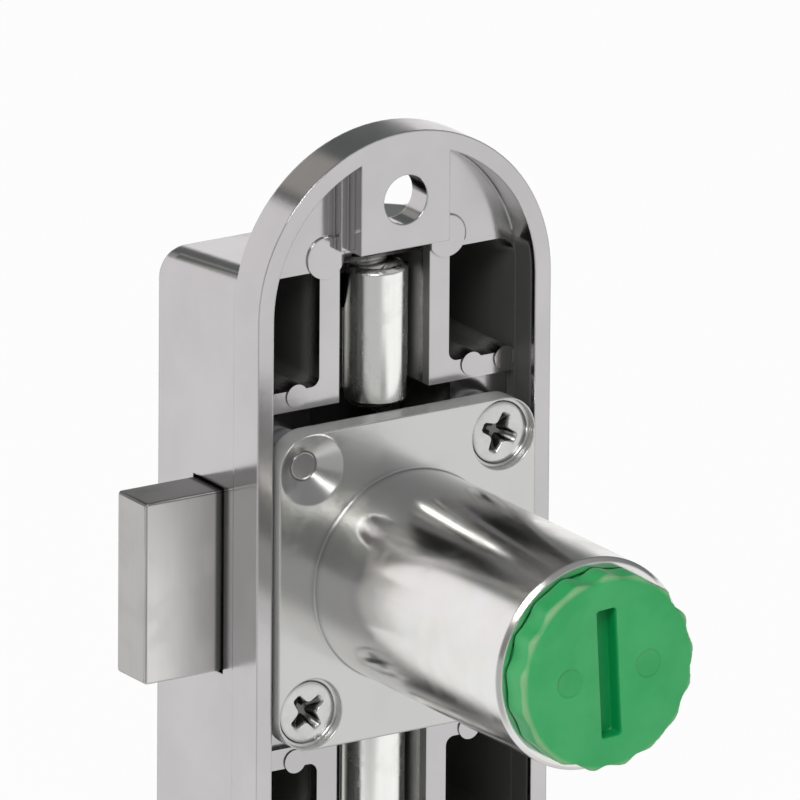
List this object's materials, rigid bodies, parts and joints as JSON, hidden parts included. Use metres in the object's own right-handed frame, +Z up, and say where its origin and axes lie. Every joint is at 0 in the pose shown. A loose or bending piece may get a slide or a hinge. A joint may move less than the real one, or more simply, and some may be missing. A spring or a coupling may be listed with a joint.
{
  "type": "cabinet rod lock",
  "caption": "Cast case with a screw-on cylinder housing, a side deadbolt and rod connectors above and below, all driven by one pinion; the barrel is closed by a slotted plastic plug.",
  "frame": {"origin": "midway between the two fixing holes, on the barrel's axis, in the plane of the flange's front face that lies against the door", "axes": "+Z up along the rods and the flange's length, +Y into the cabinet along the fixing holes, +X to the right, away from the bolt; the barrel points along -Y"},
  "size_m": [0.0355, 0.047, 0.0756],
  "materials": {
    "satin_nickel": "satin nickel plate on a zinc die casting",
    "bright_nickel": "bright nickel plate, a little orange peel",
    "screw_nickel": "nickel-plated steel, cross recess",
    "bolt_nickel": "satin nickel plate, darker than the case",
    "connector_nickel": "turned and plated",
    "plain_steel": "stamped or drawn steel, zinc plated",
    "spring_steel": "hardened spring steel",
    "plain_zinc": "bare zinc casting",
    "bush_brass": "turned brass",
    "green_plastic": "moulded green plastic, softly shiny"
  },
  "bodies": {
    "case": {"case_body": "satin_nickel", "cylinder_housing": "bright_nickel", "plate_screws": "screw_nickel", "stop_pin": "plain_steel", "detent_spring": "spring_steel", "rear_bush": "bush_brass"},
    "core": {"core_driver": "plain_zinc", "driver_washer": "plain_steel", "driver_circlip": "spring_steel", "drive_pinion": "plain_zinc"},
    "plug": {"dummy_plug": "green_plastic"},
    "bolt": {"deadbolt": "bolt_nickel"},
    "upper_rod": {"upper_rack_slide": "plain_steel", "upper_rod_connector": "connector_nickel", "upper_connector_rivet": "plain_steel"},
    "lower_rod": {"lower_rack_slide": "plain_steel", "lower_rod_connector": "connector_nickel", "lower_connector_rivet": "plain_steel"}
  },
  "joints": [
    {"name": "core_turn", "type": "hinge", "parent": "case", "child": "core", "pos_m": [0, 0, 0], "axis": [0, 1, 0], "range_deg": [0, 90], "deforming": ["detent_spring"]},
    {"name": "bolt_slide", "type": "slide", "parent": "case", "child": "bolt", "axis": [1, 0, 0], "range_m": [0, 0.00708]},
    {"name": "upper_rod_slide", "type": "slide", "parent": "case", "child": "upper_rod", "axis": [0, 0, 1], "range_m": [-0.00708, 0]},
    {"name": "lower_rod_slide", "type": "slide", "parent": "case", "child": "lower_rod", "axis": [0, 0, 1], "range_m": [0, 0.00708]},
    {"name": "plug_pull", "type": "slide", "parent": "case", "child": "plug", "axis": [0, -1, 0], "range_m": [0, 0.02]}
  ],
  "couplings": [
    {"joint": "bolt_slide", "follows": "core_turn", "m_per_rad": 0.0045},
    {"joint": "upper_rod_slide", "follows": "core_turn", "m_per_rad": -0.0045},
    {"joint": "lower_rod_slide", "follows": "core_turn", "m_per_rad": 0.0045}
  ]
}
